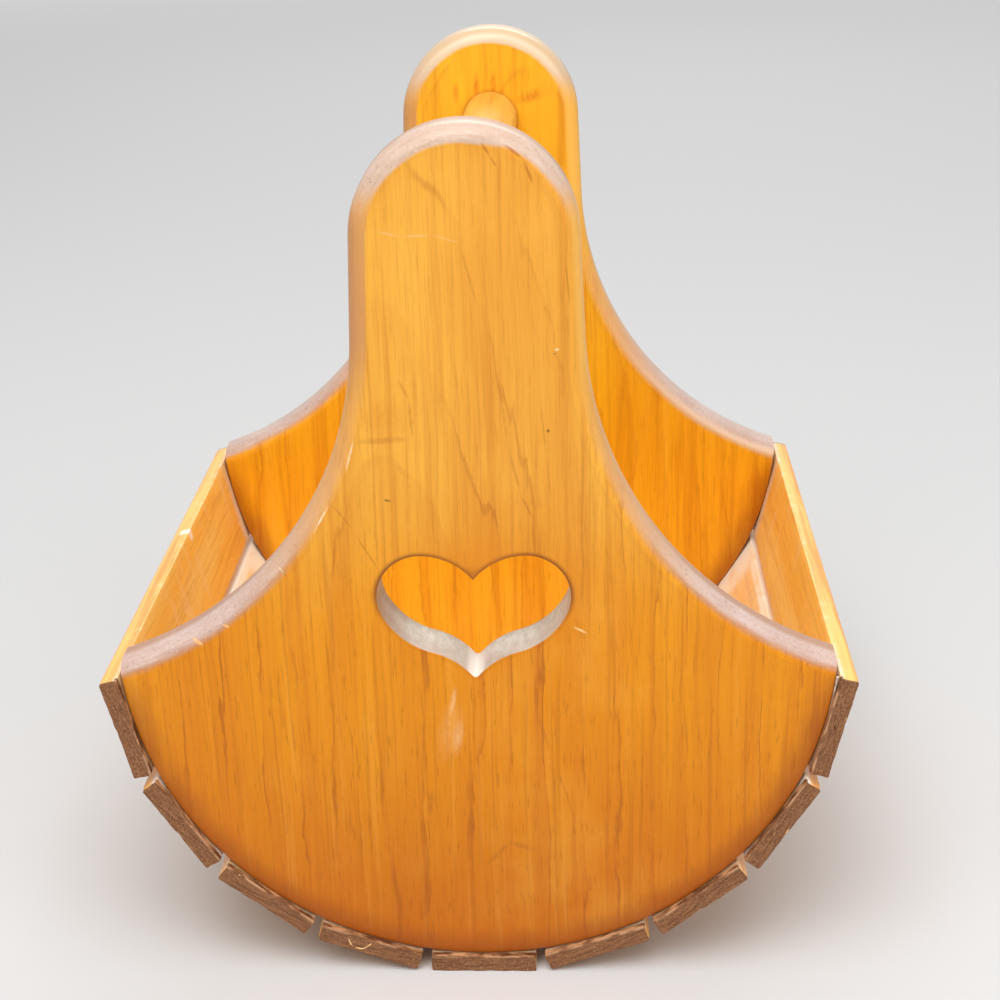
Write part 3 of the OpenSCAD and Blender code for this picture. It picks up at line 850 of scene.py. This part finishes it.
def make_splinters():
    """Torn fibres along the edges of the sawn slat ends, and the bent one on the first left slat."""
    sheet = Sheet()
    chance = random.Random(7)
    for end in (-1, 1):
        y = end * (SLAT_L / 2 - 0.45 * MM)
        for place in range(-SIDE_SLATS, SIDE_SLATS + 1):
            for outer in (True, True, True, True, True, False, False):
                length = chance.uniform(0.8, 3.4) * MM
                start = chance.uniform(-SLAT_W / 2 + 1 * MM, SLAT_W / 2 - 1 * MM - length)
                w = SLAT_T - 0.55 * MM if outer else 0.55 * MM
                lift = chance.uniform(-0.2, 0.2) * MM
                path = [on_slat(place, start + length * k, w + lift * k, y) for k in (0.0, 0.3, 0.7, 1.0)]
                thick = chance.uniform(0.12, 0.26) * MM
                thread(sheet, path, [0.3 * thick, thick, 0.8 * thick, 0.2 * thick], 5)
    curl = [(-8.9, 1.0), (-8.2, 2.6), (-6.9, 4.3), (-4.9, 5.1), (-2.6, 4.8), (-1.0, 3.2), (0.3, 1.0)]
    path = [on_slat(-1, u * MM, w * MM, -SLAT_L / 2 + 0.4 * MM) for u, w in curl]
    thread(sheet, path, [0.2 * MM, 0.32 * MM, 0.38 * MM, 0.36 * MM, 0.36 * MM, 0.3 * MM, 0.2 * MM], 8)
    splinters = sheet.finish("slat_splinters", 60)
    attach(splinters, "root")
    sh = Shader("splinter_wood")
    tint = sh.noise(sh.stretch(sh.place(), (300, 300, 300)), detail=3)
    colour = sh.mix(sh.step(tint, 0.35, 0.65), srgb(206, 150, 98), srgb(248, 204, 140))
    set_material(splinters, finish_wood(sh, colour, 0.6, tint))


def make_glue_line():
    """The pale bead of glue in the wedge between the front board and the top right slat."""
    sheet = Sheet()
    path, radii = [], []
    for i in range(15):
        u = (5.5 + 12.7 * i / 14) * MM
        gap = RIM_R - math.sqrt(RIM_R ** 2 - u ** 2)
        path.append(on_slat(SIDE_SLATS, u, -gap / 2, -BOARD_OUTER + 0.5 * MM))
        radii.append(gap * (0.44 + 0.10 * noise.noise(Vector((i * 0.9, 3.7, 1.1)))))
    thread(sheet, path, radii, 8)
    glue = sheet.finish("glue_bead", 60)
    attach(glue, "root")
    sh = Shader("old_glue")
    tint = sh.noise(sh.stretch(sh.place(), (400, 400, 400)), detail=4)
    colour = sh.mix(sh.step(tint, 0.35, 0.65), srgb(176, 150, 128), srgb(222, 200, 178))
    set_material(glue, finish_wood(sh, colour, 0.5, tint))


def dress_boards():
    # Each mark: its centre and size in mm across and up, its turn in degrees, its colour and its strength
    pale, dark, amber = srgb(252, 222, 180), srgb(74, 44, 26), srgb(206, 118, 14)
    # The pooled tint serves for dark stains and for painted shade above the heart's notch; the halo tint is painted
    # shade above the heart
    chipped, stain, pooled_and_shade = srgb(252, 186, 112), srgb(168, 92, 26), srgb(128, 62, 18)
    halo = srgb(214, 124, 20)
    front_marks = (
        ((28.7, 233.6), (1.1, 0.6), 20, pale, 0.95),
        ((28.0, 232.2), (0.6, 0.5), 0, dark, 0.85),
        ((25.6, 206.4), (0.8, 0.8), 0, srgb(110, 64, 24), 0.8),
        ((-27.2, 182.7), (1.6, 0.5), -16, dark, 0.8),
        ((35.5, 135.6), (3.4, 0.6), -28, srgb(252, 206, 140), 0.8),
        ((-6.6, 95.0), (2.6, 9.5), -9, pale, 0.24),
        ((-8.0, 109.0), (1.2, 7.0), -10, pale, 0.24),
        ((-9.5, 98.0), (5.5, 17.0), -12, pale, 0.12),
        ((5.8, 48.1), (8.2, 1.5), 48, pooled_and_shade, 0.24),
        ((14.7, 51.4), (6.0, 1.5), -20, pooled_and_shade, 0.24),
        ((20.4, 110.8), (7.2, 1.0), -88, stain, 0.50),
        ((22.7, 97.3), (9.0, 1.0), -74, stain, 0.42),
        ((30.3, 72.6), (14.0, 0.6), -74, stain, 0.28),
        ((-17.0, 68.7), (6.6, 1.5), 84, stain, 0.45),
        ((-18.9, 46.1), (17.0, 0.6), 86, stain, 0.28),
        ((-18.8, 108.6), (8.6, 0.6), -86, stain, 0.30),
        ((-45.9, 60.8), (7.0, 0.9), 87, stain, 0.40),
        ((-7.7, 20.4), (7.0, 0.8), 77, stain, 0.30),
        ((-38.9, 198.2), (6.8, 0.5), 74.6, pale, 0.8),
        ((-49.5, 176.2), (6.6, 0.5), 59.9, pale, 0.75),
        ((-63.7, 157.7), (2.1, 0.4), -49, pale, 0.9),
        ((-63.1, 157.0), (2.1, 0.3), -49, dark, 0.6),
        ((-94.1, 131.6), (2.6, 1.0), -30, chipped, 0.85),
        ((-83.8, 137.6), (1.6, 0.7), -20, chipped, 0.8),
        # Painted shade: a dark spot above the heart's notch and a broad halo above its upper edge
        ((-0.6, 157.0), (4.5, 3.2), 0, pooled_and_shade, 0.45),
        ((0.0, 158.0), (31.0, 18.0), 0, halo, 0.40),
        ((-28.0, 203.6), (11.0, 1.6), 3, stain, 0.34),
        ((-27.5, 211.0), (11.0, 10.0), 0, amber, 0.30),
        ((-20.4, 220.7), (4.3, 0.7), -64, stain, 0.35),
        ((-18.5, 211.0), (7.5, 0.8), -87, stain, 0.40),
        ((-23.1, 271.3), (4.6, 0.45), -15, pale, 0.20),
        ((-14.4, 270.6), (5.9, 0.45), 3, pale, 0.24),
        ((-5.2, 269.5), (5.4, 0.45), -17, pale, 0.18),
        ((7.6, 297.1), (3.0, 0.5), -56, stain, 0.7),
        ((9.8, 293.4), (2.9, 0.4), -58, stain, 0.6),
        ((16.2, 296.1), (4.6, 0.7), -38, stain, 0.7),
        ((20.5, 289.9), (5.3, 0.6), -68, stain, 0.6),
        ((1.5, 257.5), (11.6, 0.45), -76, stain, 0.40),
        ((32.1, 256.3), (10.3, 0.5), -85, stain, 0.5),
        ((-42.5, 177.3), (6.4, 0.5), -54, stain, 0.45),
        ((-34.6, 164.0), (8.8, 0.5), -61, stain, 0.50),
        ((11.4, 212.0), (0.6, 12.0), 7, stain, 0.30),
        ((14.6, 192.5), (0.7, 9.0), 13, stain, 0.40),
        ((18.4, 180.0), (0.7, 5.5), 24, stain, 0.45),
        ((20.3, 169.5), (0.6, 8.0), 3, stain, 0.40),
        ((24.0, 208.0), (0.5, 11.0), 5, stain, 0.32),
        ((25.6, 190.0), (0.5, 10.0), 4, stain, 0.35),
    )
    back_marks = (
        ((-5.5, 281.5), (2.0, 8.0), 0, amber, 0.85),
        ((1.6, 282.0), (1.7, 7.0), 0, amber, 0.7),
        ((-14.0, 279.0), (1.8, 6.0), 0, amber, 0.5),
        ((17.0, 277.5), (9.0, 3.6), 18, amber, 0.75),
        # Painted shade: a broad dark halo round the dowel where it enters the board
        ((-1.0, 264.0), (19.0, 19.0), 0, amber, 0.7),
    )
    outer_tones = (srgb(193, 105, 8), srgb(226, 145, 12), srgb(238, 175, 64))
    inner_tones = (srgb(241, 183, 46), srgb(248, 176, 26), srgb(252, 190, 42))
    front = end_board("front_board", "end_board_front", -1)
    ring_axis = (-0.022, 0.100)
    tones = (outer_tones, inner_tones)
    wood = board_wood("front_board_wood", (0.0, 0.0, 0.0), ring_axis, *tones, FRONT_BORDER, front_marks)
    set_material(front, wood)
    back = end_board("back_board", "end_board_back", 1)
    ring_axis = (0.020, 0.040)
    wood = board_wood("back_board_wood", (3.1, 1.7, 0.9), ring_axis, *tones, BACK_BORDER, back_marks)
    set_material(back, wood)


def dress_slats():
    places = {"slat_bottom": 0}
    for i in range(1, SIDE_SLATS + 1):
        places[f"slat_left_{i}"] = -i
        places[f"slat_right_{i}"] = i
    for count, (node, place) in enumerate(places.items()):
        slat = slat_piece(node, place, count + 1)
        shade = 1 + 0.05 * math.sin(2.4 * count)
        offset = (0.37 * count, 0.11 * count, 0.53 * count)
        dust_and_sheen_amount = {1 - SIDE_SLATS: 0.15, SIDE_SLATS - 1: 0.3}.get(place)
        chip = 0.0165 if place == -SIDE_SLATS else None
        set_material(slat, slat_wood(node + "_grain", offset, shade, dust_and_sheen_amount, chip))


def dress_handle():
    set_material(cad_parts["handle_dowel"], dowel_wood())


def dress_nails():
    metal = steel()
    for node in ("nails_front", "nails_back"):
        set_material(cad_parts[node], metal)


def make_stage():
    mesh = bpy.data.meshes.new("floor")
    turns = [math.radians(i * 5) for i in range(72)]
    rim = [(FLOOR_R * math.cos(t), FLOOR_R * math.sin(t), 0) for t in turns]
    mesh.from_pydata(rim, [], [range(len(rim))])
    floor = bpy.data.objects.new("floor", mesh)
    bpy.context.scene.collection.objects.link(floor)
    sh = Shader("floor")
    # Far off, where only the camera sees it, the floor fades into the backdrop
    far = sh.node("ShaderNodeVectorMath", operation="LENGTH")
    sh.link(sh.place(), far.inputs[0])
    seen = sh.node("ShaderNodeLightPath").outputs["Is Camera Ray"]
    fade = sh.math("MULTIPLY", sh.step(far.outputs["Value"], 1.2, 4.5), seen)
    sh.link(sh.mix(fade, (0.60, 0.60, 0.60, 1), (0, 0, 0, 1)), sh.surface.inputs["Base Color"])
    sh.link(sh.math("MULTIPLY", fade, BACKDROP), sh.surface.inputs["Emission Strength"])
    sh.surface.inputs["Emission Color"].default_value = (1, 1, 1, 1)
    sh.surface.inputs["Roughness"].default_value = 0.9
    sh.surface.inputs["Specular IOR Level"].default_value = 0.0
    set_material(floor, sh.material)


def area_lamp(name, place, size, power):
    data = bpy.data.lights.new(name, "AREA")
    data.shape = "RECTANGLE"
    data.size, data.size_y = size
    data.energy = power
    lamp = bpy.data.objects.new(name, data)
    bpy.context.scene.collection.objects.link(lamp)
    lamp.location = place
    lamp.rotation_euler = (Vector((0, 0, 0.12)) - Vector(place)).to_track_quat("-Z", "Y").to_euler()


def make_lights():
    area_lamp("key", (-0.6, -1.2, 1.8), (1.5, 1.5), 21)
    area_lamp("fill", (1.2, -1.2, 1.4), (1.4, 1.4), 12)
    area_lamp("top", (0.0, -0.8, 2.0), (1.6, 1.6), 24)
    area_lamp("back", (0.2, 2.2, 1.9), (1.8, 1.4), 26)
    world = bpy.data.worlds.new("studio")
    bpy.context.scene.world = world
    world.use_nodes = True
    tree = world.node_tree
    background = tree.nodes["Background"]
    path = tree.nodes.new("ShaderNodeLightPath")
    seen = tree.nodes.new("ShaderNodeMath")
    seen.operation = "MAXIMUM"
    tree.links.new(path.outputs["Is Camera Ray"], seen.inputs[0])
    tree.links.new(path.outputs["Is Glossy Ray"], seen.inputs[1])
    strength = tree.nodes.new("ShaderNodeMapRange")
    strength.inputs["To Min"].default_value = WORLD_LIGHT
    strength.inputs["To Max"].default_value = BACKDROP
    tree.links.new(seen.outputs[0], strength.inputs["Value"])
    tree.links.new(strength.outputs[0], background.inputs["Strength"])
    background.inputs["Color"].default_value = (1, 1, 1, 1)
    scene = bpy.context.scene
    scene.view_settings.view_transform = "Standard"


make_camera()
make_stage()
make_lights()
dress_boards()
dress_slats()
dress_handle()
dress_nails()
make_splinters()
make_glue_line()
